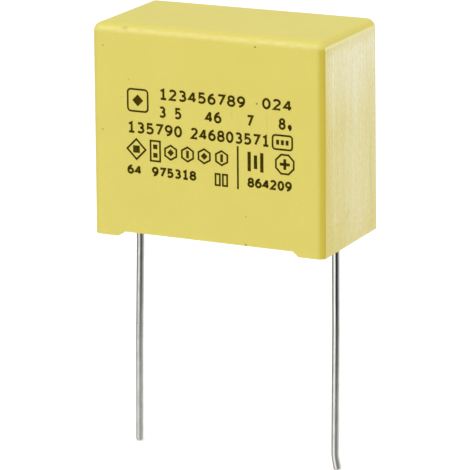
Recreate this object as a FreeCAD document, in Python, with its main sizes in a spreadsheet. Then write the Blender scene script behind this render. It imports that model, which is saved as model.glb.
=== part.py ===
"""Box film capacitor with two wire leads, in millimetres.

The origin is the middle of the seating plane, which is the plane of the feet and of the board.
Z is up, X runs along the row of leads, and the front of the case looks to -Y.
"""
import FreeCAD, Part
import math
import os

import Sketcher
from FreeCAD import Vector

SIZES = (
    # the moulded case
    ("case_depth", 13.8, "case from front to back, at the feet"),
    ("case_height", 22.2, "case from the feet to the top"),
    ("draft_angle", 0.29, "slope of each upright face, in degrees"),
    ("edge_round", 0.72, "radius of the upright edges"),
    ("top_round", 0.95, "radius of the edges round the top"),
    ("end_wall", 0.9, "thickness of the left and right walls"),
    ("long_wall", 0.9, "thickness of the front and back walls"),
    ("top_wall", 1.0, "thickness of the top"),
    ("cavity_round", 0.4, "radius of the edges inside the case"),
    ("foot_length", 2.8, "length of each foot along the long walls"),
    ("foot_height", 0.52, "how far the long walls stand clear of the board"),
    ("foot_chamfer", 0.62, "length of the slope beside each foot"),
    # the cast resin
    ("fill_recess", 0.85, "how far inside the feet the resin ends at the walls"),
    ("dish_depth", 0.3, "how far the resin sinks away from the walls"),
    ("dish_rim", 0.15, "width of the flat rim of resin at the walls"),
    ("dish_angle", 50.0, "slope of the dish's sides, in degrees from upright"),
    ("collar_foot", 0.35, "width of the collar of resin round each lead, at its foot"),
    ("collar_lip", 0.06, "width of that collar at its lip"),
    ("end_cover", 0.45, "resin between a lead and the end wall"),
    ("side_cover", 0.9, "resin between the element and the long walls"),
    ("top_cover", 1.1, "resin between the element and the top wall"),
    ("bottom_cover", 1.75, "resin between the element and the dish's floor"),
    # the wound element
    ("wrap_thickness", 0.3, "bare film turns round the winding"),
    ("spray_thickness", 0.75, "sprayed metal on each end of the winding"),
    ("spray_chamfer", 0.3, "width of the chamfer round the spray's outer face"),
    # the leads
    ("lead_pitch", 22.5, "distance between the two leads"),
    ("lead_diameter", 0.8, "tinned wire"),
    ("lead_reach", 24.6, "how far the leads reach below the feet"),
    ("bend_radius", 4.0, "radius of each bend in the leads"),
    ("tip_round", 0.25, "radius round the cut ends"),
    ("weld_depth", 0.1, "how far a lead is pressed into the spray"),
    ("weld_height", 7.4, "how far a lead runs up along the spray"),
    ("left_straight", 2.4, "left lead: straight run below the feet"),
    ("left_angle", 1.75, "left lead: outward lean of the upper run, in degrees"),
    ("left_lower_run", 11.2, "left lead: how far above its tip the lean changes"),
    ("left_lower_angle", 1.1, "left lead: outward lean of the lower run, in degrees"),
    ("right_straight", 9.5, "right lead: straight run below the feet"),
    ("right_angle", 0.55, "right lead: inward lean of the lower run, in degrees"),
    ("right_hook", 1.9, "right lead: how far above its tip the hook starts"),
    ("right_hook_angle", 11.0, "right lead: outward lean of the tip, in degrees"),
)

# Lengths that follow from the sheet, as formulas in the sheet's own names
S = "Sizes."
LEAD_RADIUS = f"({S}lead_diameter / 2)"
CAVITY_LENGTH = f"({S}lead_pitch + {S}lead_diameter + 2 * {S}end_cover)"
CAVITY_DEPTH = f"({S}case_depth - 2 * {S}long_wall)"
CAVITY_HEIGHT = f"({S}case_height - {S}top_wall)"
CASE_LENGTH = f"({CAVITY_LENGTH} + 2 * {S}end_wall)"
ELEMENT_BOTTOM = f"({S}fill_recess + {S}dish_depth + {S}bottom_cover)"
ELEMENT_TOP = f"({CAVITY_HEIGHT} - {S}top_cover)"
ELEMENT_MIDDLE = f"(({ELEMENT_TOP} + {ELEMENT_BOTTOM}) / 2)"
WRAP_HEIGHT = f"({ELEMENT_TOP} - {ELEMENT_BOTTOM})"
WRAP_DEPTH = f"({CAVITY_DEPTH} - 2 * {S}side_cover)"
WINDING_HEIGHT = f"({WRAP_HEIGHT} - 2 * {S}wrap_thickness)"
WINDING_DEPTH = f"({WRAP_DEPTH} - 2 * {S}wrap_thickness)"
SPRAY_OUTER = f"({S}lead_pitch / 2 - {LEAD_RADIUS} + {S}weld_depth)"
SPRAY_INNER = f"({SPRAY_OUTER} - {S}spray_thickness)"
WELD_TOP = f"({ELEMENT_BOTTOM} + {S}weld_height)"

# Two points of an edge closer together than this count as one height or one place
NEAR = 0.001
UP = Vector(0, 0, 1)

doc = FreeCAD.newDocument("BoxFilmCapacitor")


def make_sheet():
    """Write the driving sizes to a sheet, one named cell each."""
    sheet = doc.addObject("Spreadsheet::Sheet", "Sizes")
    for row, (alias, number, note) in enumerate(SIZES, start=1):
        sheet.set(f"A{row}", note)
        sheet.set(f"B{row}", str(number))
        sheet.setAlias(f"B{row}", alias)
    doc.recompute()


def size_of(formula):
    """The number that a formula gives now."""
    return doc.Sizes.evalExpression(formula)


def new_body(name):
    return doc.addObject("PartDesign::Body", name)


def new_sketch(body, name, role, offset=None):
    """A sketch on one of the body's origin planes, moved along its normal by a formula."""
    sketch = body.newObject("Sketcher::SketchObject", name)
    plane = next(f for f in body.Origin.OriginFeatures if f.Role == role)
    sketch.AttachmentSupport = [(plane, "")]
    sketch.MapMode = "FlatFace"
    if offset:
        sketch.setExpression("AttachmentOffset.Base.z", offset)
    return sketch


def join(sketch, kind, *where):
    """Add a constraint that has no size."""
    sketch.addConstraint(Sketcher.Constraint(kind, *where))


def bind(sketch, kind, *where, formula):
    """Add a dimension to the sketch and tie it to a formula."""
    index = sketch.addConstraint(Sketcher.Constraint(kind, *where, size_of(formula)))
    sketch.setExpression(f"Constraints[{index}]", formula)


def bind_row_place(sketch, item, point, side):
    """Tie a point's X to a lead's place in the row, on the left (-1) or the right (1)."""
    ends = (-1, 1, item, point) if side > 0 else (item, point, -1, 1)
    bind(sketch, "DistanceX", *ends, formula=f"{S}lead_pitch / 2")


def draw_loop(sketch, corners):
    """Straight sides through the corners, each joined to the next and the last to the first."""
    for here, there in zip(corners, corners[1:] + corners[:1]):
        sketch.addGeometry(Part.LineSegment(Vector(*here), Vector(*there)))
    for side in range(len(corners)):
        join(sketch, "Coincident", side, 2, (side + 1) % len(corners), 1)


def draw_rectangle(sketch, length, depth):
    """A rectangle centred on the sketch's origin."""
    x, y = size_of(length) / 2, size_of(depth) / 2
    draw_loop(sketch, [(-x, -y), (x, -y), (x, y), (-x, y)])
    for side, direction in enumerate(("Horizontal", "Vertical", "Horizontal", "Vertical")):
        join(sketch, direction, side)
    join(sketch, "Symmetric", 0, 1, 2, 1, -1, 1)
    bind(sketch, "DistanceX", 0, 1, 0, 2, formula=length)
    bind(sketch, "DistanceY", 1, 1, 1, 2, formula=depth)


def draw_obround(sketch, height, depth):
    """An upright obround round the element's middle: two half circles and two flanks."""
    half_run = f"({height} - {depth}) / 2"
    upper, lower = f"{ELEMENT_MIDDLE} + {half_run}", f"{ELEMENT_MIDDLE} - {half_run}"
    y_upper, y_lower, radius = size_of(upper), size_of(lower), size_of(depth) / 2
    cap = Part.Circle(Vector(0, y_upper), UP, radius)
    foot = Part.Circle(Vector(0, y_lower), UP, radius)
    ring = [sketch.addGeometry(shape) for shape in (
        Part.ArcOfCircle(cap, 0, math.pi),
        Part.LineSegment(Vector(-radius, y_upper), Vector(-radius, y_lower)),
        Part.ArcOfCircle(foot, math.pi, 2 * math.pi),
        Part.LineSegment(Vector(radius, y_lower), Vector(radius, y_upper)))]
    for here, there in zip(ring, ring[1:] + ring[:1]):
        join(sketch, "Tangent", here, 2, there, 1)
    top, bottom = ring[0], ring[2]
    join(sketch, "Equal", top, bottom)
    join(sketch, "PointOnObject", top, 3, -2)
    join(sketch, "PointOnObject", bottom, 3, -2)
    bind(sketch, "Radius", top, formula=f"{depth} / 2")
    bind(sketch, "DistanceY", -1, 1, top, 3, formula=upper)
    bind(sketch, "DistanceY", -1, 1, bottom, 3, formula=lower)


def pad(body, name, sketch, length, taper=None, **settings):
    """Extrude the sketch by a formula, with its sides leaning by another."""
    feature = body.newObject("PartDesign::Pad", name)
    feature.Profile = sketch
    feature.setExpression("Length", length)
    if taper:
        feature.setExpression("TaperAngle", taper)
    for key, setting in settings.items():
        setattr(feature, key, setting)
    return feature


def ease_edges(body, kind, name, feature, wanted, size):
    """A fillet or a chamfer on the edges of the feature for which the test holds."""
    doc.recompute()
    edges = enumerate(feature.Shape.Edges, start=1)
    easing = body.newObject(f"PartDesign::{kind}", name)
    easing.Base = (feature, [f"Edge{i}" for i, edge in edges if wanted(edge)])
    easing.setExpression("Radius" if kind == "Fillet" else "Size", size)
    easing.Refine = False
    return easing


def subtract(name, base, tool):
    cut = doc.addObject("Part::Cut", name)
    cut.Base = base
    cut.Tool = tool
    return cut


def moulded_block(name, length, depth, height, edge_radius, top_radius):
    """A drafted block on the seating plane, rounded everywhere but round its bottom.

    With two radii, the edges with the larger one are rounded first, and the others run out on them.
    """
    body = new_body(name)
    outline = new_sketch(body, f"{name}_outline", "XY_Plane")
    draw_rectangle(outline, length, depth)
    block = pad(body, f"{name}_pad", outline, height, f"-{S}draft_angle")
    top = size_of(height)

    def is_upright(edge):
        heights = [corner.Z for corner in edge.Vertexes]
        return min(heights) < NEAR < max(heights)

    def is_at_the_top(edge):
        return min(corner.Z for corner in edge.Vertexes) > top - NEAR

    def leaves_the_bottom(edge):
        return is_upright(edge) or is_at_the_top(edge)

    if size_of(edge_radius) == size_of(top_radius):
        roundings = [("whole", leaves_the_bottom, edge_radius)]
    else:
        roundings = [("edge", is_upright, edge_radius), ("top", is_at_the_top, top_radius)]
        roundings.sort(key=lambda rounding: size_of(rounding[2]), reverse=True)
    for word, wanted, radius in roundings:
        block = ease_edges(body, "Fillet", f"{name}_{word}_rounding", block, wanted, radius)
    return body


def make_foot_gap():
    """The space under the long walls, between the two end feet."""
    at_board = f"({CASE_LENGTH} - 2 * {S}foot_length)"
    at_wall = f"({at_board} - 2 * {S}foot_chamfer)"
    body = new_body("foot_gap")
    sketch = new_sketch(body, "foot_gap_outline", "XZ_Plane")
    wide, narrow, high = size_of(at_board) / 2, size_of(at_wall) / 2, size_of(f"{S}foot_height")
    draw_loop(sketch, [(-wide, 0), (wide, 0), (narrow, high), (-narrow, high)])
    join(sketch, "PointOnObject", 0, 1, -1)
    join(sketch, "Symmetric", 0, 1, 0, 2, -2)
    join(sketch, "Symmetric", 2, 1, 2, 2, -2)
    bind(sketch, "DistanceX", 0, 1, 0, 2, formula=at_board)
    bind(sketch, "DistanceX", 2, 2, 2, 1, formula=at_wall)
    bind(sketch, "DistanceY", -1, 1, 2, 1, formula=f"{S}foot_height")
    pad(body, "foot_gap_pad", sketch, f"{S}case_depth", SideType="Symmetric")
    return body


def make_case(cavity):
    """The moulded shell: a drafted block, hollow from below, with its long walls cut back."""
    block = moulded_block("case_block", CASE_LENGTH, f"{S}case_depth", f"{S}case_height",
                          f"{S}edge_round", f"{S}top_round")
    shell = subtract("case_shell", block, cavity)
    return subtract("case", shell, make_foot_gap())


def make_mouth():
    """The empty space inside the feet, down to the dished surface of the resin."""
    body = new_body("mouth")
    flat = new_sketch(body, "mouth_outline", "XY_Plane")
    draw_rectangle(flat, CASE_LENGTH, f"{S}case_depth")
    pad(body, "mouth_pad", flat, f"{S}fill_recess")
    dish = new_sketch(body, "dish_outline", "XY_Plane", f"{S}fill_recess")
    rim = f"2 * {S}dish_rim"
    draw_rectangle(dish, f"{CAVITY_LENGTH} - {rim}", f"{CAVITY_DEPTH} - {rim}")
    pad(body, "dish_pad", dish, f"{S}dish_depth", f"-{S}dish_angle")
    return body


def make_collar(word, side):
    """The small cone of resin that creeps down a lead from the dish's floor."""
    collar = doc.addObject("Part::Cone", f"collar_{word}")
    collar.setExpression("Radius1", f"{LEAD_RADIUS} + {S}collar_lip")
    collar.setExpression("Radius2", f"{LEAD_RADIUS} + {S}collar_foot")
    collar.setExpression("Height", f"{S}dish_depth")
    collar.setExpression("Placement.Base.x", f"{side} * {S}lead_pitch / 2")
    collar.setExpression("Placement.Base.z", f"{S}fill_recess")
    return collar


def make_resin(cavity, element):
    """The cast resin: what is left of the cavity round the element and the leads."""
    cast = doc.addObject("Part::MultiFuse", "resin_and_collars")
    cast.Shapes = [subtract("resin_block", cavity, make_mouth()),
                   make_collar("left", -1), make_collar("right", 1)]
    inside = doc.addObject("Part::Compound", "inside_the_resin")
    inside.Links = element
    return subtract("potting_resin", cast, inside)


def make_winding():
    """The pressed roll of metallised film."""
    body = new_body("film_winding")
    section = new_sketch(body, "winding_section", "YZ_Plane")
    draw_obround(section, WINDING_HEIGHT, WINDING_DEPTH)
    pad(body, "winding_pad", section, f"2 * {SPRAY_INNER}", SideType="Symmetric")
    return body


def make_wrap():
    """The bare turns round the winding, as one closed band."""
    body = new_body("outer_wrap")
    section = new_sketch(body, "wrap_section", "YZ_Plane")
    draw_obround(section, WRAP_HEIGHT, WRAP_DEPTH)
    draw_obround(section, WINDING_HEIGHT, WINDING_DEPTH)
    pad(body, "wrap_pad", section, f"2 * {SPRAY_INNER}", SideType="Symmetric")
    return body


def make_contact(word, side, lead):
    """The sprayed metal on one end of the winding, with the lead pressed into it."""
    name = f"spray_{word}"
    body = new_body(name)
    section = new_sketch(body, f"{name}_section", "YZ_Plane", f"{side} * {SPRAY_INNER}")
    draw_obround(section, WRAP_HEIGHT, WRAP_DEPTH)
    layer = pad(body, f"{name}_pad", section, f"{S}spray_thickness", Reversed=side < 0)
    outer = size_of(SPRAY_OUTER)

    def on_the_outside(edge):
        return all(side * corner.X > outer - NEAR for corner in edge.Vertexes)

    ease_edges(body, "Chamfer", f"{name}_chamfer", layer, on_the_outside, f"{S}spray_chamfer")
    return subtract(f"end_contact_{word}", body, lead)


def draw_bend(sketch, start, before, after):
    """An arc from a point, turning the wire's lean from one angle to another, in radians.

    Returns the arc, the point where it ends, and the numbers of its first and last end.
    """
    radius = size_of(f"{S}bend_radius")
    turn = 1 if after > before else -1
    centre = start + Vector(math.cos(before), math.sin(before)) * (turn * radius)
    end = centre - Vector(math.cos(after), math.sin(after)) * (turn * radius)
    circle = Part.Circle(centre, UP, radius)
    if turn > 0:
        arc = Part.ArcOfCircle(circle, math.pi + before, math.pi + after)
        ends = (1, 2)
    else:
        arc = Part.ArcOfCircle(circle, after, before)
        ends = (2, 1)
    index = sketch.addGeometry(arc)
    bind(sketch, "Radius", index, formula=f"{S}bend_radius")
    return index, end, *ends


def draw_wire_path(sketch, side, straight, leaning_runs):
    """The middle of a lead: an upright run, then leaning runs joined to it by tangent arcs.

    The upright run is in two lengths that meet in the seating plane. Each leaning run is its
    lean toward +X in degrees and the depth of its end below the feet, as formulas.
    """
    place = side * size_of(f"{S}lead_pitch / 2")
    top, seat = Vector(place, size_of(WELD_TOP)), Vector(place, 0)
    here = Vector(place, -size_of(straight))
    inside = sketch.addGeometry(Part.LineSegment(top, seat))
    run = sketch.addGeometry(Part.LineSegment(seat, here))
    join(sketch, "Vertical", inside)
    join(sketch, "Vertical", run)
    join(sketch, "Coincident", inside, 2, run, 1)
    join(sketch, "PointOnObject", inside, 2, -1)
    bind_row_place(sketch, inside, 1, side)
    bind(sketch, "DistanceY", -1, 1, inside, 1, formula=WELD_TOP)
    bind(sketch, "DistanceY", run, 2, -1, 1, formula=straight)
    leaning = 0.0
    for lean, depth in leaning_runs:
        angle = math.radians(size_of(lean))
        arc, here, near, far = draw_bend(sketch, here, leaning, angle)
        join(sketch, "Tangent", run, 2, arc, near)
        drop = here.y + size_of(depth)
        there = here + Vector(drop * math.tan(angle), -drop)
        run = sketch.addGeometry(Part.LineSegment(here, there))
        join(sketch, "Tangent", arc, far, run, 1)
        bind(sketch, "Angle", run, formula=f"({lean} - 90) * 1 deg")
        bind(sketch, "DistanceY", run, 2, -1, 1, formula=depth)
        here, leaning = there, angle


def make_lead(word, side, straight, leaning_runs):
    """A round wire along its bent path, rounded at its cut tip."""
    name = f"lead_{word}"
    body = new_body(name)
    section = new_sketch(body, f"{name}_section", "XY_Plane", WELD_TOP)
    place = Vector(side * size_of(f"{S}lead_pitch / 2"), 0)
    circle = section.addGeometry(Part.Circle(place, UP, size_of(LEAD_RADIUS)))
    join(section, "PointOnObject", circle, 3, -1)
    bind(section, "Radius", circle, formula=LEAD_RADIUS)
    bind_row_place(section, circle, 3, side)
    path = new_sketch(body, f"{name}_path", "XZ_Plane")
    draw_wire_path(path, side, straight, leaning_runs)
    doc.recompute()
    wire = body.newObject("PartDesign::AdditivePipe", f"{name}_wire")
    wire.Profile = section
    wire.Spine = path
    wire.Refine = False
    tip = path.Shape.Vertexes[-1].Point

    def ends_the_wire(edge):
        return edge.CenterOfMass.distanceToPoint(tip) < NEAR

    ease_edges(body, "Fillet", f"{name}_tip", wire, ends_the_wire, f"{S}tip_round")
    return body


def check(parts):
    """Stop if anything in the document failed, or a sub-part isn't one sound solid."""
    for thing in doc.Objects:
        if {"Invalid", "Error"} & set(thing.State):
            raise RuntimeError(f"{thing.Name} is {thing.State}")
    for part in parts:
        shape = part.Shape
        if shape.isNull() or not shape.isValid() or len(shape.Solids) != 1:
            raise RuntimeError(f"{part.Label} is not one valid solid")


def export(parts):
    os.makedirs("parts", exist_ok=True)
    for part in parts:
        part.Shape.exportStep(f"parts/{part.Label}.step")
        print(f"{part.Label}: {part.Shape.Volume:.2f} mm3, {len(part.Shape.Faces)} faces")


make_sheet()
cavity = moulded_block("cavity", CAVITY_LENGTH, CAVITY_DEPTH, CAVITY_HEIGHT,
                       f"{S}cavity_round", f"{S}cavity_round")
lead_left = make_lead("left", -1, f"{S}left_straight", (
    (f"-{S}left_angle", f"{S}lead_reach - {S}left_lower_run"),
    (f"-{S}left_lower_angle", f"{S}lead_reach")))
lead_right = make_lead("right", 1, f"{S}right_straight", (
    (f"-{S}right_angle", f"{S}lead_reach - {S}right_hook"),
    (f"{S}right_hook_angle", f"{S}lead_reach")))
element = [
    make_winding(),
    make_wrap(),
    make_contact("left", -1, lead_left),
    make_contact("right", 1, lead_right),
    lead_left,
    lead_right,
]
sub_parts = [make_case(cavity), make_resin(cavity, element), *element]
doc.recompute()
check(sub_parts)
export(sub_parts)
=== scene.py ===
"""Looks of the box film capacitor: camera, floor, lights, materials and the print on its front.

Sizes here are in millimetres, and MM turns them into metres. The frame is the part's own: the
front of the case looks to -Y, X runs along the row of leads, and Z is up from the seating plane.

A ramp is written as its start and its end, then its level at both, which are 0 and 1 where they
are left out. A bell is written as its centre and its reach.
"""

import math

import bmesh
import bpy
from mathutils import Matrix, Vector


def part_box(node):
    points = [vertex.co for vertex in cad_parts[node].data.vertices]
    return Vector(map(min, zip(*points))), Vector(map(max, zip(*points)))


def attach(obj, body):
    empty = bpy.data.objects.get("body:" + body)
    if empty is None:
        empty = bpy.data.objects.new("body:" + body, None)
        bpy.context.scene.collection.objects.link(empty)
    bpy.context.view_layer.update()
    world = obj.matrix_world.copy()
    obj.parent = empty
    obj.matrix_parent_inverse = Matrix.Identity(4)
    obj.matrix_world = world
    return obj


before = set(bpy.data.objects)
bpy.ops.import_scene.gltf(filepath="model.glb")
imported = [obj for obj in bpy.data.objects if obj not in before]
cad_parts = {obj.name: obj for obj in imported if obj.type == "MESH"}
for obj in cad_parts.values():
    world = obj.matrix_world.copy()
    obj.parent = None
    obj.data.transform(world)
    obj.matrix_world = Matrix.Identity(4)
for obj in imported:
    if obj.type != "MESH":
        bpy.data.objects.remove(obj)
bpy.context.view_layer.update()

MM = 0.001

# The moulded case and the tips of the leads, as the frame has them, and the lean of the walls
CASE_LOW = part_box("case")[0] / MM
LEAD_TIPS = min(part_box(lead)[0].z for lead in ("lead_left", "lead_right")) / MM
DRAFT = math.radians(0.29)

# The photograph is a square, and its camera's focal length is known in its pixels
PHOTO_PIXELS = 470
FOCAL_PIXELS = 3195.1
SENSOR_WIDTH = 36.0
# The camera's direction, in degrees from the front towards +X and then up, its roll and its place
CAMERA_TURN = 25.913
CAMERA_RISE = 15.348
CAMERA_ROLL = -0.595
CAMERA_DISTANCE = 331.08
CAMERA_SIDESTEP = -0.179
CAMERA_LIFT = -0.520
CAMERA_NEAREST = 10.0
CAMERA_FARTHEST = 20000.0

# The floor, and how much it glows where the camera sees it straight
FLOOR_SIZE = 6000.0
FLOOR_SHADE = 0.86
FLOOR_GLOW = 0.3
FLOOR_ROUGHNESS = 0.9

# Each lamp: its direction in degrees from the front towards +X and up, distance, size and level
LAMPS = {
    "key": ((-32.0, 45.0), 700.0, 800.0, 0.62),
    "side": ((115.0, 30.0), 700.0, 500.0, 0.315),
}
# The even light from all round
AMBIENT = 0.62

# What reflections see of the studio: its level, and ramps by how far up they look
STUDIO_LEVEL = 0.42
STUDIO_ABOVE = (-0.05, 0.3, 1.0, 0.6)
STUDIO_CEILING = (0.45, 0.75, 0.0, 0.9)
# Each patch of the studio: its turn, where it fades out and where it is full, and what it adds
STUDIO_PATCHES = {
    "dim left side": (-85.0, 42.0, 15.0, -0.26),
    "lamp in front": (-22.0, 38.0, 12.0, 1.1),
    "dark right front": (44.0, 55.0, 8.0, -0.38),
    "pale backdrop": (168.0, 72.0, 20.0, 0.65),
}

WHITE = (1, 1, 1, 1)


def toward(turn, rise):
    """The direction that lies these degrees from the front towards +X, and up."""
    turn, rise = math.radians(turn), math.radians(rise)
    level = math.cos(rise)
    return Vector((math.sin(turn) * level, -math.cos(turn) * level, math.sin(rise)))


def show(name, data):
    """An object in the scene for this mesh, lamp or camera."""
    thing = bpy.data.objects.new(name, data)
    bpy.context.scene.collection.objects.link(thing)
    return thing


class Nodes:
    """Short calls that add nodes to one node tree. Each returns a socket."""

    def __init__(self, tree):
        self.tree = tree
        tree.nodes.clear()

    def add(self, kind, inputs=None, output=0, **settings):
        """A node with these settings and inputs."""
        node = self.tree.nodes.new(kind)
        for key, setting in settings.items():
            setattr(node, key, setting)
        for key, source in (inputs or {}).items():
            if isinstance(source, bpy.types.NodeSocket):
                self.tree.links.new(source, node.inputs[key])
            else:
                node.inputs[key].default_value = source
        return node.outputs[output] if node.outputs else None

    def calc(self, operation, *terms):
        """One operation on numbers."""
        return self.add("ShaderNodeMath", dict(enumerate(terms)), operation=operation)

    def vector(self, operation, *terms, output=0):
        """One operation on vectors. Output 1 is for an operation that gives a number."""
        return self.add("ShaderNodeVectorMath", dict(enumerate(terms)), output, operation=operation)

    def split(self, vector):
        """The X, Y and Z of a vector."""
        return self.add("ShaderNodeSeparateXYZ", {0: vector}).node.outputs[:]

    def step(self, value, start, end, low=0.0, high=1.0):
        """A smooth ramp of a value, from low at start to high at end."""
        inputs = {"Value": value, "From Min": start, "From Max": end, "To Min": low, "To Max": high}
        return self.add("ShaderNodeMapRange", inputs, interpolation_type="SMOOTHSTEP")

    def bell(self, value, centre, reach):
        """1 where the value is at the centre, and 0 from this far to either side."""
        away = self.calc("ABSOLUTE", self.calc("SUBTRACT", value, centre))
        return self.step(away, reach, 0.0)

    def mix(self, share, one, other):
        """One colour, with a share of the other blended in."""
        return self.add("ShaderNodeMix", {0: share, 6: one, 7: other}, 2, data_type="RGBA")

    def brighten(self, tint, times):
        """A colour made this many times as bright."""
        return self.add("ShaderNodeVectorMath", {0: tint, 3: times}, operation="SCALE")

    def noise(self, place, per_mm, detail=2.0):
        """Noise between 0 and 1, with this many features per millimetre along X, Y and Z."""
        stretched = self.vector("MULTIPLY", place, per_mm)
        return self.add("ShaderNodeTexNoise", {"Vector": stretched, "Scale": 1.0, "Detail": detail})

    def vary(self, value, noise, strength):
        """A value that noise lifts and lowers with this strength."""
        return self.calc("MULTIPLY_ADD", self.calc("SUBTRACT", noise, 0.5), strength, value)

    def bump(self, height, depth):
        """The normal of a surface that a height between 0 and 1 lifts by this depth."""
        return self.add("ShaderNodeBump", {"Height": height, "Distance": depth * MM})

    def place(self):
        """The object's own coordinates, in millimetres."""
        metres = self.add("ShaderNodeTexCoord", output="Object")
        return self.vector("MULTIPLY", metres, (1 / MM, 1 / MM, 1 / MM))


def new_material(name):
    """A material and its empty node tree."""
    material = bpy.data.materials.new(name)
    material.use_nodes = True
    return material, Nodes(material.node_tree)


def finish_material(nodes, inputs):
    """Add the surface shader with these inputs."""
    shader = nodes.add("ShaderNodeBsdfPrincipled", inputs)
    nodes.add("ShaderNodeOutputMaterial", {"Surface": shader})


def dress(node_name, material):
    """Give a CAD node this material."""
    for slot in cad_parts[node_name].material_slots:
        slot.material = material


# Camera, floor and light

def make_camera():
    """The photograph's own viewpoint, found by fitting the edges of the case."""
    data = bpy.data.cameras.new("camera")
    data.sensor_width = SENSOR_WIDTH
    data.lens = SENSOR_WIDTH * FOCAL_PIXELS / PHOTO_PIXELS
    data.clip_start = CAMERA_NEAREST * MM
    data.clip_end = CAMERA_FARTHEST * MM
    back = toward(CAMERA_TURN, CAMERA_RISE)
    level_right = toward(CAMERA_TURN + 90.0, 0.0)
    level_up = back.cross(level_right)
    roll = math.radians(CAMERA_ROLL)
    right = math.cos(roll) * level_right + math.sin(roll) * level_up
    up = back.cross(right)
    place = back * CAMERA_DISTANCE + level_right * CAMERA_SIDESTEP + level_up * CAMERA_LIFT
    camera = show("camera", data)
    turn = Matrix((right, up, back)).transposed().to_4x4()
    camera.matrix_world = Matrix.Translation(place * MM) @ turn
    bpy.context.scene.camera = camera


def make_lamp(name, direction, distance, size, level):
    """A soft square lamp that looks at the origin.

    A white surface there that faces it gets this level.
    """
    place = toward(*direction) * distance * MM
    data = bpy.data.lights.new(name, "AREA")
    data.size = size * MM
    data.energy = level * math.pi ** 2 * place.length_squared
    lamp = show(name, data)
    lamp.location = place
    lamp.rotation_euler = place.to_track_quat("Z", "Y").to_euler()
    lamp.visible_camera = False


def make_floor():
    """A pale floor under the tips of the leads, lifted to white where the camera sees it.

    Reflections look through it at the studio, which goes on below it.
    """
    mesh = bpy.data.meshes.new("floor")
    half = FLOOR_SIZE * MM / 2
    corners = [(-half, -half, 0), (half, -half, 0), (half, half, 0), (-half, half, 0)]
    mesh.from_pydata(corners, [], [(0, 1, 2, 3)])
    floor = show("floor", mesh)
    floor.location.z = LEAD_TIPS * MM
    floor.visible_glossy = False
    material, nodes = new_material("floor")
    straight = nodes.add("ShaderNodeLightPath").node.outputs["Is Camera Ray"]
    glow = nodes.calc("MULTIPLY", straight, FLOOR_GLOW)
    shade = (FLOOR_SHADE, FLOOR_SHADE, FLOOR_SHADE, 1)
    finish_material(nodes, {"Base Color": shade, "Roughness": FLOOR_ROUGHNESS,
                            "Specular IOR Level": 0.0,
                            "Emission Color": WHITE, "Emission Strength": glow})
    mesh.materials.append(material)


def studio_level(nodes):
    """How bright the studio is where a reflection looks."""
    direction = nodes.add("ShaderNodeTexCoord", output="Generated")
    height = nodes.split(direction)[2]
    level_part = nodes.vector("NORMALIZE", nodes.vector("MULTIPLY", direction, (1, 1, 0)))
    level = STUDIO_LEVEL
    for turn, fades_out, is_full, change in STUDIO_PATCHES.values():
        closeness = nodes.vector("DOT_PRODUCT", level_part, toward(turn, 0.0), output=1)
        far, near = math.cos(math.radians(fades_out)), math.cos(math.radians(is_full))
        level = nodes.calc("ADD", level, nodes.step(closeness, far, near, 0.0, change))
    level = nodes.calc("MULTIPLY", level, nodes.step(height, *STUDIO_ABOVE))
    return nodes.calc("ADD", level, nodes.step(height, *STUDIO_CEILING))


def make_world():
    """An even pale surround, white to the camera, and in reflections the studio itself."""
    world = bpy.data.worlds.new("studio")
    world.use_nodes = True
    bpy.context.scene.world = world
    nodes = Nodes(world.node_tree)
    path = nodes.add("ShaderNodeLightPath").node.outputs
    mirrored = nodes.calc("MAXIMUM", path["Is Glossy Ray"], path["Is Transmission Ray"])
    around = nodes.add("ShaderNodeMix", {0: mirrored, 2: AMBIENT, 3: studio_level(nodes)})
    level = nodes.add("ShaderNodeMix", {0: path["Is Camera Ray"], 2: around, 3: 1.0})
    background = nodes.add("ShaderNodeBackground", {"Color": WHITE, "Strength": level})
    nodes.add("ShaderNodeOutputWorld", {"Surface": background})


# Marks on the case

DIRT = (0.22, 0.14, 0.025, 1)

# On the front: X, Z, radius and darkness of each pit
PITS = (
    (-11.59, 19.92, 0.13, 0.5),
    (-8.73, 16.6, 0.12, 0.4),
    (-11.77, 11.14, 0.14, 0.5),
    (5.53, 21.12, 0.12, 1.0),
    (5.68, 15.37, 0.14, 0.9),
    (4.38, 3.58, 0.12, 0.5),
    (4.36, 0.64, 0.14, 0.8),
)
# X and Z of both ends of each hairline, and its darkness
HAIRLINES = (
    ((2.15, 14.7), (2.15, 16.5), 0.2),
    ((2.91, 13.3), (2.91, 14.8), 0.2),
    ((6.78, 12.3), (6.78, 14.95), 0.25),
    ((-10.2, 14.55), (-8.95, 14.85), 0.2),
)
HAIRLINE_REACH = 0.08
# A nick on the round above the front, near the left, longer along X
NICK = (-9.13, -6.6, 21.93)
NICK_STRETCH = (0.7, 1.2, 1.2)
NICK_RADIUS = 0.4
NICK_DARKNESS = 0.36

# On the right end, in Y and Z: a stain, a dull stripe up the far side, and pale scratches
STAIN = (-0.91, 3.37)
STAIN_RADIUS = 0.8
STAIN_DARKNESS = 0.1
STRIPE_ACROSS = (4.9, 0.5)
STRIPE_UP = (5.8, 6.5)
STRIPE_DARKNESS = 0.09
SCRATCHES = (
    ((-5.9, 3.98), (-3.2, 3.48), 0.25),
    ((-5.9, 3.42), (-3.6, 2.99), 0.25),
    ((-5.5, 3.6), (-2.2, 2.99), 0.35),
    ((-4.15, 2.5), (-4.15, 1.0), 0.3),
)
SCRATCH_REACH = 0.12

# Ramps of the outward direction that keep marks to the front (by Y) and to the right end (by X)
FACES_FRONT = (-0.9, -0.99)
FACES_RIGHT = (0.9, 0.99)


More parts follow.
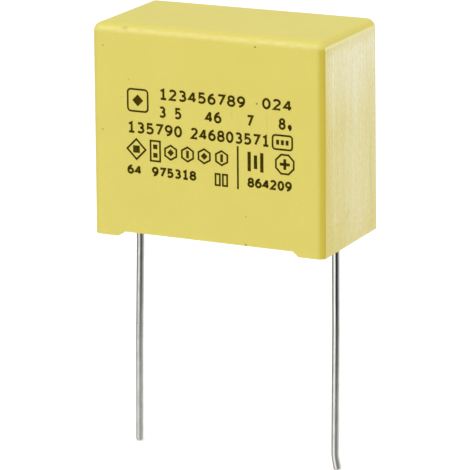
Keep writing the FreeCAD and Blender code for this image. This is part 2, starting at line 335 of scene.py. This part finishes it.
def drawn_lines(nodes, place, lines, facing, reach):
    """How strongly these straight marks show. They fade towards both ends and to their sides.

    The place is flat, with nothing along the direction that the surface faces.
    """
    total = 0.0
    for start, end, strength in lines:
        length, along = (end - start).length, (end - start).normalized()
        from_start = nodes.vector("SUBTRACT", place, start)
        passed = nodes.vector("DOT_PRODUCT", from_start, along, output=1)
        aside = nodes.vector("DOT_PRODUCT", from_start, along.cross(facing), output=1)
        line = nodes.calc("MULTIPLY", nodes.bell(aside, 0.0, reach), strength)
        line = nodes.calc("MULTIPLY", line, nodes.bell(passed, length / 2, length / 2))
        total = nodes.calc("ADD", total, line)
    return total


def front_marks(nodes, place, normal_y):
    """How dirty the front is: pits, faint hairlines and the nick above it."""
    flat = nodes.vector("MULTIPLY", place, (1, 0, 1))
    hairlines = [(Vector((x1, 0, z1)), Vector((x2, 0, z2)), darkness)
                 for (x1, z1), (x2, z2), darkness in HAIRLINES]
    marks = drawn_lines(nodes, flat, hairlines, Vector((0, 1, 0)), HAIRLINE_REACH)
    for x, z, radius, darkness in PITS:
        distance = nodes.vector("DISTANCE", flat, (x, 0, z), output=1)
        marks = nodes.calc("ADD", marks, nodes.step(distance, radius, radius / 2, 0.0, darkness))
    marks = nodes.calc("MULTIPLY", marks, nodes.step(normal_y, *FACES_FRONT))
    from_nick = nodes.vector("MULTIPLY", nodes.vector("SUBTRACT", place, NICK), NICK_STRETCH)
    distance = nodes.vector("LENGTH", from_nick, output=1)
    nick = nodes.step(distance, NICK_RADIUS, 0.0, 0.0, NICK_DARKNESS)
    return nodes.calc("ADD", marks, nick)


def right_end_marks(nodes, place, normal_x):
    """How dirty the right end is, and how scratched pale."""
    flat = nodes.vector("MULTIPLY", place, (0, 1, 1))
    lines = [(Vector((0, *start)), Vector((0, *end)), strength)
             for start, end, strength in SCRATCHES]
    scratched = drawn_lines(nodes, flat, lines, Vector((1, 0, 0)), SCRATCH_REACH)
    distance = nodes.vector("DISTANCE", flat, (0, *STAIN), output=1)
    dirty = nodes.step(distance, STAIN_RADIUS, 0.0, 0.0, STAIN_DARKNESS)
    _, y, z = nodes.split(flat)
    stripe = nodes.calc("MULTIPLY", nodes.bell(y, *STRIPE_ACROSS), nodes.bell(z, *STRIPE_UP))
    dirty = nodes.calc("MULTIPLY_ADD", stripe, STRIPE_DARKNESS, dirty)
    on_right = nodes.step(normal_x, *FACES_RIGHT)
    return nodes.calc("MULTIPLY", dirty, on_right), nodes.calc("MULTIPLY", scratched, on_right)


# The ends of the case, flat and brushed

END_YELLOW = (0.71, 0.602, 0.182, 1)
END_CREAM = (0.76, 0.685, 0.33, 1)
END_WHITE = (0.86, 0.82, 0.58, 1)
# Painted highlight, for the line along the top of each end and up its near side
END_HIGHLIGHT = (0.81, 0.74, 0.3, 1)

# Their paleness. END_UPPER is a ramp along Z, for which the next two give levels
END_UPPER = (12.0, 20.0)
END_PALENESS = (0.33, 0.71)
END_MIDDLE_LIFT = (0.23, 0.09)
# The middle and the sides lie across Y. The lift of the far side and the last two run along Z
END_MIDDLE = (1.3, 4.1)
END_NEAR_SIDE = (-3.9, -6.3, 0.0, -0.45)
END_FAR_SIDE = (4.9, 6.2)
END_FAR_SIDE_LIFT = (6.0, 12.0, 0.0, 0.14)
END_BELOW_TOP = (19.8, 21.3, 0.0, -0.22)
END_FOOT = (6.0, 0.5, 0.0, -0.17)
# Where paleness turns yellow into cream, and then cream into white
END_TO_CREAM = (0.0, 0.5)
END_TO_WHITE = (0.4, 1.0)

# Noise on the ends and what it does to the paleness. The rubbing across is only near the feet
STREAKS = (0.0, 2.7, 0.1)
STREAKS_STRENGTH = 0.5
GRAIN = (0.0, 3.0, 1.4)
GRAIN_STRENGTH = 0.45
CLOUD = (0.0, 0.3, 0.22)
CLOUD_STRENGTH = 0.3
RUBBING = (0.0, 0.25, 3.0)
RUBBING_STRENGTH = (7.0, 3.0, 0.0, 0.4)
# Fine upright lines in the near part also change the brightness, and fine specks do so all over
LINES = (0.0, 3.6, 0.03)
LINES_ACROSS = (-3.9, 3.4)
LINES_UP = (13.5, 10.0)
LINES_PALENESS = 0.7
LINES_BRIGHTNESS = 0.312
SPECKS = (0.0, 3.4, 2.4)
SPECKS_BRIGHTNESS = 0.24
# A painted highlight, a pale line up the near side. Its share has levels for END_UPPER
NEAR_HIGHLIGHT = (-5.95, 0.4)
NEAR_HIGHLIGHT_SHARE = (0.0, 0.7)


def end_paleness(nodes, y, z):
    """How pale the ends are: more near the top and down the middle, less at near side and foot."""
    pale = nodes.step(z, *END_UPPER, *END_PALENESS)
    middle = nodes.step(z, *END_UPPER, *END_MIDDLE_LIFT)
    middle = nodes.calc("MULTIPLY", nodes.bell(y, *END_MIDDLE), middle)
    far_side = nodes.step(z, *END_FAR_SIDE_LIFT)
    far_side = nodes.calc("MULTIPLY", nodes.step(y, *END_FAR_SIDE), far_side)
    near_side = nodes.step(y, *END_NEAR_SIDE)
    below_top = nodes.step(z, *END_BELOW_TOP)
    foot = nodes.step(z, *END_FOOT)
    for lift in (middle, near_side, far_side, below_top, foot):
        pale = nodes.calc("ADD", pale, lift)
    return pale


def end_colour(nodes, place):
    """The colour of the ends, and the height of their brushing."""
    _, y, z = nodes.split(place)
    streaks, grain = nodes.noise(place, STREAKS), nodes.noise(place, GRAIN)
    lines = nodes.noise(place, LINES, 1.0)
    lined = nodes.calc("MULTIPLY", nodes.bell(y, *LINES_ACROSS), nodes.bell(z, *LINES_UP))
    pale = end_paleness(nodes, y, z)
    for layer, strength in ((streaks, STREAKS_STRENGTH), (grain, GRAIN_STRENGTH),
                            (nodes.noise(place, CLOUD), CLOUD_STRENGTH),
                            (nodes.noise(place, RUBBING), nodes.step(z, *RUBBING_STRENGTH)),
                            (lines, nodes.calc("MULTIPLY", lined, LINES_PALENESS))):
        pale = nodes.vary(pale, layer, strength)
    tint = nodes.mix(nodes.step(pale, *END_TO_CREAM), END_YELLOW, END_CREAM)
    tint = nodes.mix(nodes.step(pale, *END_TO_WHITE), tint, END_WHITE)
    times = nodes.vary(1.0, lines, nodes.calc("MULTIPLY", lined, LINES_BRIGHTNESS))
    times = nodes.vary(times, nodes.noise(place, SPECKS), SPECKS_BRIGHTNESS)
    tint = nodes.brighten(tint, times)
    # Painted highlight up the near side of each end
    near_highlight = nodes.step(z, *END_UPPER, *NEAR_HIGHLIGHT_SHARE)
    near_highlight = nodes.calc("MULTIPLY", nodes.bell(y, *NEAR_HIGHLIGHT), near_highlight)
    return nodes.mix(near_highlight, tint, END_HIGHLIGHT), nodes.calc("ADD", streaks, grain)


# The rest of the case

BODY_YELLOW = (0.705, 0.604, 0.112, 1)
BODY_LOW = (0.715, 0.623, 0.121, 1)
# The top's tint is painted light
BODY_TOP_LIT = (0.7, 0.622, 0.098, 1)
BODY_DEEP = (0.685, 0.58, 0.1, 1)
# Pale specks on the rounds above the long walls: wear and painted highlight
BODY_WEAR_AND_HIGHLIGHT = (0.76, 0.68, 0.2, 1)
# Painted shade: gold and ochre on the upright rounds by the right end, ochre also round the ends
EDGE_SHADE_GOLD = (0.69, 0.55, 0.03, 1)
EDGE_SHADE_OCHRE = (0.59, 0.45, 0.04, 1)

# Where the body takes on its lower colour, by height, and its painted light top tint, by facing up
BODY_LOWERS = (16.0, 3.0)
BODY_FACES_UP = (0.7, 0.98)
# Noise that deepens its colour
MOTTLE = (0.2, 0.2, 0.2)
MOTTLE_DEEPENS = (0.3, 0.75, 0.0, 0.7)
FINE = (4.0, 4.0, 4.0)
FINE_DEEPENS = (0.3, 0.7, 0.0, 0.5)

# The upright rounds beside the right end, by how far they turn to the front or back (Y), how far
# up they face (Z), and how far they turn to the right (X). Their gold and ochre are painted shade
UPRIGHT_SIDEWAYS = (0.03, 0.2)
UPRIGHT_FACES_UP = (0.42, 0.1)
UPRIGHT_SHADES = (
    ((0.17, 0.78), EDGE_SHADE_GOLD),
    ((0.72, 0.97), EDGE_SHADE_OCHRE),
)

# The rounds above the long walls, pale in specks on their lower half: wear and painted highlight
WEAR_AND_HIGHLIGHT_BAND = (0.42, 0.45)
WEAR_AND_HIGHLIGHT_SIDEWAYS = (0.4, 0.7)
WEAR_AND_HIGHLIGHT_SPECKS = (1.3, 4.0, 4.0)
WEAR_AND_HIGHLIGHT_SHARE = (0.35, 0.7, 0.4, 1.0)

# The ends, the painted shade line round them and the painted highlight along their top, by how far
# they face to the left or right
FACES_END = (0.995, 0.9995)
SHADE_LINE = (0.88, 0.1)
SHADE_LINE_SHARE = 0.2
HIGHLIGHT_LINE = (0.93, 0.99)
HIGHLIGHT_LINE_FACES_UP = (0.01, 0.04)

# The surface of the case, rougher on its ends
CASE_ROUGHNESS = (0.42, 0.62)
CASE_REFRACTION = 1.52
CASE_RELIEF = 0.012
FINE_RELIEF = 0.4


def body_colour(nodes, place, normal_z, fine):
    """The yellow of the body, with faint clouds and fine grain in it."""
    height = nodes.split(place)[2]
    tint = nodes.mix(nodes.step(height, *BODY_LOWERS), BODY_YELLOW, BODY_LOW)
    tint = nodes.mix(nodes.step(normal_z, *BODY_FACES_UP), tint, BODY_TOP_LIT)
    mottle = nodes.noise(place, MOTTLE, 3.0)
    tint = nodes.mix(nodes.step(mottle, *MOTTLE_DEEPENS), tint, BODY_DEEP)
    return nodes.mix(nodes.step(fine, *FINE_DEEPENS), tint, BODY_DEEP)


def shade_and_highlight_rounds(nodes, tint, place, normal_x, turned_y, normal_z):
    """Painted shade on the upright rounds by the right end; wear and painted highlight above the
    long walls.
    """
    on_upright = nodes.calc("MULTIPLY", nodes.step(turned_y, *UPRIGHT_SIDEWAYS),
                            nodes.step(normal_z, *UPRIGHT_FACES_UP))
    # Painted shade, gold and then ochre, where the upright rounds turn towards the right end
    for turned_right, shade_tint in UPRIGHT_SHADES:
        share = nodes.calc("MULTIPLY", nodes.step(normal_x, *turned_right), on_upright)
        tint = nodes.mix(share, tint, shade_tint)
    # Pale specks of wear and painted highlight on the lower half of the rounds above the long walls
    worn_and_lit = nodes.calc("MULTIPLY", nodes.bell(normal_z, *WEAR_AND_HIGHLIGHT_BAND),
                      nodes.step(turned_y, *WEAR_AND_HIGHLIGHT_SIDEWAYS))
    specks = nodes.step(nodes.noise(place, WEAR_AND_HIGHLIGHT_SPECKS), *WEAR_AND_HIGHLIGHT_SHARE)
    return nodes.mix(nodes.calc("MULTIPLY", worn_and_lit, specks), tint, BODY_WEAR_AND_HIGHLIGHT)


def shade_and_highlight_end_edges(nodes, tint, turned_x, normal_z):
    """Painted shade in a line round each end, and inside it a painted highlight along the top."""
    # Painted shade in a line round each end
    shaded = nodes.calc("MULTIPLY", nodes.bell(turned_x, *SHADE_LINE), SHADE_LINE_SHARE)
    tint = nodes.mix(shaded, tint, EDGE_SHADE_OCHRE)
    # Painted highlight along the top of each end
    highlight = nodes.calc("MULTIPLY", nodes.step(normal_z, *HIGHLIGHT_LINE_FACES_UP),
                        nodes.step(turned_x, *HIGHLIGHT_LINE))
    return nodes.mix(highlight, tint, END_HIGHLIGHT)


def case_material():
    """Moulded yellow plastic, painted shade on the upright rounds, worn top edges with painted
    highlight, brushed ends.
    """
    material, nodes = new_material("case_plastic")
    place = nodes.place()
    normal = nodes.add("ShaderNodeTexCoord", output="Normal")
    normal_x, normal_y, normal_z = nodes.split(normal)
    turned_x, turned_y = nodes.calc("ABSOLUTE", normal_x), nodes.calc("ABSOLUTE", normal_y)
    fine = nodes.noise(place, FINE)
    tint = body_colour(nodes, place, normal_z, fine)
    tint = shade_and_highlight_rounds(nodes, tint, place, normal_x, turned_y, normal_z)
    end_tint, brushing = end_colour(nodes, place)
    on_end = nodes.step(turned_x, *FACES_END)
    tint = nodes.mix(on_end, tint, end_tint)
    tint = shade_and_highlight_end_edges(nodes, tint, turned_x, normal_z)
    dirty, scratched = right_end_marks(nodes, place, normal_x)
    marks = nodes.calc("ADD", front_marks(nodes, place, normal_y), dirty)
    tint = nodes.mix(scratched, tint, END_WHITE)
    tint = nodes.mix(marks, tint, DIRT)
    relief = nodes.calc("MULTIPLY", brushing, on_end)
    relief = nodes.calc("MULTIPLY_ADD", fine, FINE_RELIEF, relief)
    relief = nodes.calc("SUBTRACT", relief, marks)
    finish_material(nodes, {"Base Color": tint,
                            "Roughness": nodes.step(on_end, 0.0, 1.0, *CASE_ROUGHNESS),
                            "IOR": CASE_REFRACTION,
                            "Normal": nodes.bump(relief, CASE_RELIEF)})
    return material


# Resin, wire, film, sprayed metal and ink

RESIN_HONEY = (0.64, 0.5, 0.13, 1)
RESIN_BROWN = (0.5, 0.37, 0.08, 1)
RESIN_CLOUD = (0.5, 0.5, 0.5)
RESIN_RIPPLE = (0.8, 0.8, 0.8)
RESIN_RELIEF = 0.06

# Where along Z the wire gets rougher, and where it loses shine. Each lead has its own levels
WIRE_DULLS = (-1.0, -20.0)
WIRE_TARNISHES = (-4.0, -22.0)
WIRE_LINES = (9.0, 9.0, 0.35)
WIRE_RELIEF = 0.006
WIRE_PATCHES = (1.3, 1.3, 0.8)
WIRE_PATCHES_DARKEN = (0.3, 0.7)
WIRE_DARKER = 0.85
WIRE_PATCHES_ROUGHEN = 0.12
WIRE_SPECKS = (4.0, 4.0, 3.0)
WIRE_SPECKS_DARKEN = (0.7, 0.78, 0.0, 0.5)
WIRE_SPECK = (0.2, 0.2, 0.17, 1)
WIRE_BLUE = 0.95
# Each lead: its material's name and shade, then its roughness and its metal's share, which are
# both given at the case and at the tip
# The leads are one wire: the left lead's lower shade is painted shade
WIRE_LOOKS = {
    "lead_left": ("tinned_wire_dull", 0.64, (0.3, 0.4), (0.93, 0.5)),
    "lead_right": ("tinned_wire_bright", 0.68, (0.12, 0.18), (1.0, 0.68)),
}

SPRAYED_DARK = (0.3, 0.3, 0.31, 1)
SPRAYED_PALE = (0.5, 0.5, 0.51, 1)
SPRAYED_GRAINS = (7.0, 7.0, 7.0)
SPRAYED_RAMP = (0.3, 0.7)
SPRAYED_RELIEF = 0.12

FILM_TURNS = (0.05, 7.0, 7.0)
FILM_RAMP = (0.35, 0.65)
FILM_RELIEF = 0.01
# Each film: its material's name, its colour, that of its edges, its metal's share and roughness
FILM_LOOKS = {
    "film_winding": ("metallised_film", (0.55, 0.56, 0.58, 1), (0.42, 0.43, 0.45, 1), 0.9, 0.35),
    "outer_wrap": ("bare_film", (0.78, 0.79, 0.78, 1), (0.68, 0.69, 0.68, 1), 0.0, 0.2),
}

INK_DARK = (0.04, 0.026, 0.0, 1)
INK_THIN = (0.075, 0.054, 0.0, 1)
INK_PATCHES = (3.0, 3.0, 3.0)
INK_RAMP = (0.35, 0.75)


def resin_material():
    """Cast epoxy of a honey colour, with a faint cloud in it."""
    material, nodes = new_material("resin")
    place = nodes.place()
    tint = nodes.mix(nodes.noise(place, RESIN_CLOUD, 4.0), RESIN_HONEY, RESIN_BROWN)
    ripple = nodes.noise(place, RESIN_RIPPLE)
    finish_material(nodes, {"Base Color": tint, "Roughness": 0.24, "IOR": 1.55,
                            "Coat Weight": 0.3, "Normal": nodes.bump(ripple, RESIN_RELIEF)})
    return material


def wire_grey(shade):
    """A grey with a little less blue in it."""
    return (shade, shade, shade * WIRE_BLUE, 1)


def wire_material(name, shade, roughness, metallic):
    """Tinned wire: grey metal with fine draw lines and a few specks, duller towards its tip."""
    material, nodes = new_material(name)
    place = nodes.place()
    height = nodes.split(place)[2]
    patches = nodes.noise(place, WIRE_PATCHES, 3.0)
    tint = nodes.mix(nodes.step(patches, *WIRE_PATCHES_DARKEN),
                     wire_grey(shade), wire_grey(shade * WIRE_DARKER))
    specks = nodes.noise(place, WIRE_SPECKS)
    tint = nodes.mix(nodes.step(specks, *WIRE_SPECKS_DARKEN), tint, WIRE_SPECK)
    dullness = nodes.step(height, *WIRE_DULLS, *roughness)
    dullness = nodes.calc("MULTIPLY_ADD", patches, WIRE_PATCHES_ROUGHEN, dullness)
    lines = nodes.noise(place, WIRE_LINES, 3.0)
    finish_material(nodes, {"Base Color": tint, "Roughness": dullness,
                            "Metallic": nodes.step(height, *WIRE_TARNISHES, *metallic),
                            "Normal": nodes.bump(lines, WIRE_RELIEF)})
    return material


def sprayed_metal_material():
    """Grey sprayed zinc, coarse and dull."""
    material, nodes = new_material("sprayed_metal")
    grains = nodes.noise(nodes.place(), SPRAYED_GRAINS, 4.0)
    tint = nodes.mix(nodes.step(grains, *SPRAYED_RAMP), SPRAYED_DARK, SPRAYED_PALE)
    finish_material(nodes, {"Base Color": tint, "Metallic": 0.8, "Roughness": 0.7,
                            "Normal": nodes.bump(grains, SPRAYED_RELIEF)})
    return material


def film_material(name, tint, edge_tint, metallic, roughness):
    """Wound film: the edges of its turns show as fine lines along the winding."""
    material, nodes = new_material(name)
    turns = nodes.noise(nodes.place(), FILM_TURNS)
    blend = nodes.mix(nodes.step(turns, *FILM_RAMP), tint, edge_tint)
    finish_material(nodes, {"Base Color": blend, "Metallic": metallic, "Roughness": roughness,
                            "Normal": nodes.bump(turns, FILM_RELIEF)})
    return material


def ink_material():
    """Dark brown ink, a little uneven."""
    material, nodes = new_material("ink")
    patches = nodes.noise(nodes.place(), INK_PATCHES, 3.0)
    tint = nodes.mix(nodes.step(patches, *INK_RAMP), INK_DARK, INK_THIN)
    finish_material(nodes, {"Base Color": tint, "Roughness": 0.7, "Specular IOR Level": 0.05})
    return material


# The print on the front, drawn flat with X to the right and Y up from the seating plane

# A thin layer of ink, partly sunk into the face
INK_LAYER = 0.03
STROKE = 0.235
MARK_STROKE = 0.19
# A corner of a stroke reaches out by half its width over this at most
MITRE_LIMIT = 0.5


def face_matrix():
    """Carries a flat drawing in millimetres to the drafted front of the case."""
    right = Vector((1, 0, 0))
    up = Vector((0, math.sin(DRAFT), math.cos(DRAFT)))
    turn = Matrix((right, up, right.cross(up))).transposed().to_4x4()
    foot = Vector((0, CASE_LOW.y, 0)) * MM
    return Matrix.Translation(foot) @ turn @ Matrix.Scale(MM, 4)


def print_on_front(name, drawing, material):
    """Turn a flat drawing into a thin closed layer of ink on the front."""
    mesh = bpy.data.meshes.new(name)
    drawing.to_mesh(mesh)
    drawing.free()
    mesh.transform(face_matrix())
    mesh.materials.append(material)
    piece = show(name, mesh)
    layer = piece.modifiers.new("layer", "SOLIDIFY")
    layer.thickness = INK_LAYER * MM
    layer.offset = 0.0
    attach(piece, "root")


def arc(x, y, across, along, start, end, steps=12):
    """Points on an oval between two angles in degrees."""
    angles = [math.radians(start + (end - start) * k / steps) for k in range(steps + 1)]
    return [(x + across * math.cos(a), y + along * math.sin(a)) for a in angles]


def polygon(x, y, half_width, half_height, sides, turn=0.0):
    """The corners of a regular polygon that is stretched to these half sizes."""
    angles = [math.tau * (k + turn) / sides for k in range(sides)]
    return [(x + half_width * math.cos(a), y + half_height * math.sin(a)) for a in angles]


def box(x, y, half_width, half_height):
    """The corners of an upright rectangle."""
    quarters = ((-1, -1), (1, -1), (1, 1), (-1, 1))
    return [(x + across * half_width, y + along * half_height) for across, along in quarters]


def rounded_box(x, y, half_width, half_height, radius, steps=4):
    """The corners of an upright rectangle with round corners."""
    corners = []
    for quarter, (across, along) in enumerate(((1, 1), (-1, 1), (-1, -1), (1, -1))):
        centre_x = x + across * (half_width - radius)
        centre_y = y + along * (half_height - radius)
        corners += arc(centre_x, centre_y, radius, radius, 90 * quarter, 90 * (quarter + 1), steps)
    return corners


def draw_face(drawing, corners):
    """A filled shape."""
    drawing.faces.new([drawing.verts.new((x, y, 0)) for x, y in corners])


def draw_stroke(drawing, corners, width=STROKE):
    """A stroke along a path, with mitred corners. A path that ends where it starts is closed."""
    points = [Vector(corner) for corner in corners]
    closed = (points[0] - points[-1]).length < width / 10
    if closed:
        points.pop()
    rails = []
    for order, here in enumerate(points):
        arriving = (here - points[order - 1]).normalized()
        leaving = (points[(order + 1) % len(points)] - here).normalized()
        if not closed and order == 0:
            arriving = leaving
        if not closed and order == len(points) - 1:
            leaving = arriving
        across = Vector((arriving.y + leaving.y, -arriving.x - leaving.x)).normalized()
        squareness = across.dot(Vector((leaving.y, -leaving.x)))
        reach = width / 2 / max(squareness, MITRE_LIMIT)
        rails.append([drawing.verts.new((*(here + across * side * reach), 0)) for side in (1, -1)])
    pairs = list(zip(rails, rails[1:]))
    if closed:
        pairs.append((rails[-1], rails[0]))
    for (right, left), (next_right, next_left) in pairs:
        drawing.faces.new((right, next_right, next_left, left))


def draw_outline(drawing, corners):
    """The outline of a shape, as one closed stroke."""
    draw_stroke(drawing, [*corners, corners[0]], MARK_STROKE)


# The strokes of each plain figure, in a cell 0.6 wide and 1 high
FIGURE_STROKES = {
    "0": [arc(0.3, 0.5, 0.27, 0.5, 0, 360, 24)],
    "1": [[(0.08, 0.84), (0.33, 1.0), (0.33, 0.0)], [(0.08, 0.0), (0.58, 0.0)]],
    "2": [arc(0.28, 0.73, 0.26, 0.27, 155, -35) + [(0.03, 0.0), (0.58, 0.0)]],
    "3": [arc(0.26, 0.75, 0.25, 0.25, 140, -90), arc(0.27, 0.27, 0.29, 0.27, 90, -140)],
    "4": [[(0.44, 0.0), (0.44, 1.0)], [(0.42, 0.98), (0.02, 0.27), (0.62, 0.27)]],
    "5": [[(0.53, 1.0), (0.11, 1.0), (0.09, 0.54)] + arc(0.25, 0.31, 0.31, 0.31, 110, -140)],
    "6": [arc(0.3, 0.31, 0.27, 0.31, 0, 360, 20), arc(0.5, 0.38, 0.47, 0.62, 92, 180)],
    "7": [[(0.02, 1.0), (0.57, 1.0), (0.18, 0.0)]],
    "8": [arc(0.3, 0.76, 0.23, 0.24, 0, 360, 20), arc(0.3, 0.27, 0.28, 0.27, 0, 360, 20)],
    "9": [arc(0.3, 0.69, 0.27, 0.31, 0, 360, 20), arc(0.1, 0.62, 0.47, 0.62, -88, 0)],
}
FIGURE_STEP = 0.88
FIGURE_WIDTH = 0.6

# Each group of plain figures: its text, left and right end, foot and height
FIGURES = (
    ("123456789", -5.3, 4.43, 14.8, 1.19),
    ("024", 6.23, 9.56, 14.9, 1.17),
    ("3 5", -5.33, -2.72, 12.94, 1.2),
    ("46", -0.13, 1.78, 12.95, 1.2),
    ("7", 4.52, 5.34, 12.96, 1.2),
    ("8", 8.05, 8.87, 12.97, 1.2),
    ("9", 9.07, 9.52, 12.9, 0.66),
    ("135790", -8.97, -2.68, 11.07, 1.2),
    ("246803571", -1.78, 7.08, 11.06, 1.2),
    ("64", -9.05, -7.38, 6.74, 1.0),
    ("975318", -6.23, -1.13, 6.73, 1.02),
    ("864209", 4.57, 9.53, 6.68, 1.04),
)

# Simple shapes where the case carries its marks. A shape has its middle and its half sizes, and
# a row of like shapes has their places along X and its level
BADGE = (-7.71, 14.51)
BADGE_HALF = 1.14
BADGE_ROUND = 0.35
BADGE_DIAMOND = 0.62

MARK_ROW = 9.4
DIAMOND = (-7.94, MARK_ROW)
DIAMOND_HALF = 1.05
MIDDLE_HALF = 0.38
TALL_BOX_X = -5.78
TALL_BOX_HALVES = (0.54, 1.05)
TALL_BOX_DOT = 0.24
TALL_BOX_DOT_RISE = 0.44
HEXAGONS = (-4.03, -2.12, -0.24, 1.72)
HEXAGON_HALF = 0.74
HEXAGON_BAR = (0.15, 0.4)

PLATE = (8.48, 11.66)
PLATE_HALVES = (1.08, 0.72)
PLATE_ROUND = 0.3
PLATE_DOTS = (7.96, 8.48, 9.0)
PLATE_DOT = (0.16, 0.25)

PAIR = (1.26, 2.08)
PAIR_LEVEL = 7.13
PAIR_HALVES = (0.24, 0.58)

DIVIDER = (3.53, 8.6)
DIVIDER_HALF = 2.23
# The place along X and the half height of each bar
BARS = ((4.8, 1.0), (5.5, 0.7), (6.2, 1.0))
BARS_LEVEL = 9.36
BAR_HALF_WIDTH = 0.18
OCTAGON = (8.74, 9.44)
OCTAGON_HALF = 1.06
CROSS_HALVES = (0.55, 0.15)


def draw_numbers(drawing, characters, left, right, low, high):
    """Plain figures that fill the space between these limits. A space leaves a gap."""
    half = STROKE / 2
    wide = (right - left - STROKE) / (FIGURE_STEP * (len(characters) - 1) + FIGURE_WIDTH)
    tall = high - low - STROKE
    for order, character in enumerate(characters):
        for stroke in FIGURE_STROKES.get(character, []):
            points = [(left + half + wide * (x + FIGURE_STEP * order), low + half + tall * y)
                      for x, y in stroke]
            draw_stroke(drawing, points)


def draw_mark_row(drawing):
    """A diamond, a tall box and four hexagons, which hold a bar or a small diamond in turn."""
    draw_outline(drawing, polygon(*DIAMOND, DIAMOND_HALF, DIAMOND_HALF, 4))
    draw_face(drawing, box(*DIAMOND, MIDDLE_HALF, MIDDLE_HALF))
    draw_outline(drawing, box(TALL_BOX_X, MARK_ROW, *TALL_BOX_HALVES))
    for rise in (TALL_BOX_DOT_RISE, -TALL_BOX_DOT_RISE):
        draw_face(drawing, box(TALL_BOX_X, MARK_ROW + rise, TALL_BOX_DOT, TALL_BOX_DOT))
    for order, x in enumerate(HEXAGONS):
        draw_outline(drawing, polygon(x, MARK_ROW, HEXAGON_HALF, HEXAGON_HALF, 6, 0.5))
        if order % 2:
            draw_face(drawing, box(x, MARK_ROW, *HEXAGON_BAR))
        else:
            draw_face(drawing, polygon(x, MARK_ROW, MIDDLE_HALF, MIDDLE_HALF, 4))


def draw_boxes(drawing):
    """A badge beside the first row, a plate at the end of the third, a pair after the fifth."""
    draw_outline(drawing, rounded_box(*BADGE, BADGE_HALF, BADGE_HALF, BADGE_ROUND))
    draw_face(drawing, polygon(*BADGE, BADGE_DIAMOND, BADGE_DIAMOND, 4))
    draw_outline(drawing, rounded_box(*PLATE, *PLATE_HALVES, PLATE_ROUND))
    for x in PLATE_DOTS:
        draw_face(drawing, box(x, PLATE[1], *PLATE_DOT))
    for x in PAIR:
        draw_outline(drawing, box(x, PAIR_LEVEL, *PAIR_HALVES))


def draw_right_group(drawing):
    """The upright line, and right of it three bars and an octagon with a cross."""
    draw_face(drawing, box(*DIVIDER, MARK_STROKE / 2, DIVIDER_HALF))
    for x, half_height in BARS:
        draw_face(drawing, box(x, BARS_LEVEL, BAR_HALF_WIDTH, half_height))
    draw_outline(drawing, polygon(*OCTAGON, OCTAGON_HALF, OCTAGON_HALF, 8, 0.5))
    draw_face(drawing, box(*OCTAGON, *CROSS_HALVES))
    draw_face(drawing, box(*OCTAGON, *reversed(CROSS_HALVES)))


def make_numbers(material):
    """All groups of figures, as one piece."""
    drawing = bmesh.new()
    for characters, left, right, foot, height in FIGURES:
        draw_numbers(drawing, characters, left, right, foot, foot + height)
    print_on_front("print_numbers", drawing, material)


def make_marks(material):
    """All simple shapes, as one piece."""
    drawing = bmesh.new()
    draw_mark_row(drawing)
    draw_boxes(drawing)
    draw_right_group(drawing)
    print_on_front("print_marks", drawing, material)


bpy.context.scene.view_settings.view_transform = "Standard"
make_camera()
make_world()
make_floor()
for lamp_name, lamp_settings in LAMPS.items():
    make_lamp(lamp_name, *lamp_settings)

dress("case", case_material())
dress("potting_resin", resin_material())
for film_name, film_looks in FILM_LOOKS.items():
    dress(film_name, film_material(*film_looks))
sprayed_metal = sprayed_metal_material()
dress("end_contact_left", sprayed_metal)
dress("end_contact_right", sprayed_metal)
for lead_name, wire_looks in WIRE_LOOKS.items():
    dress(lead_name, wire_material(*wire_looks))

ink = ink_material()
make_numbers(ink)
make_marks(ink)
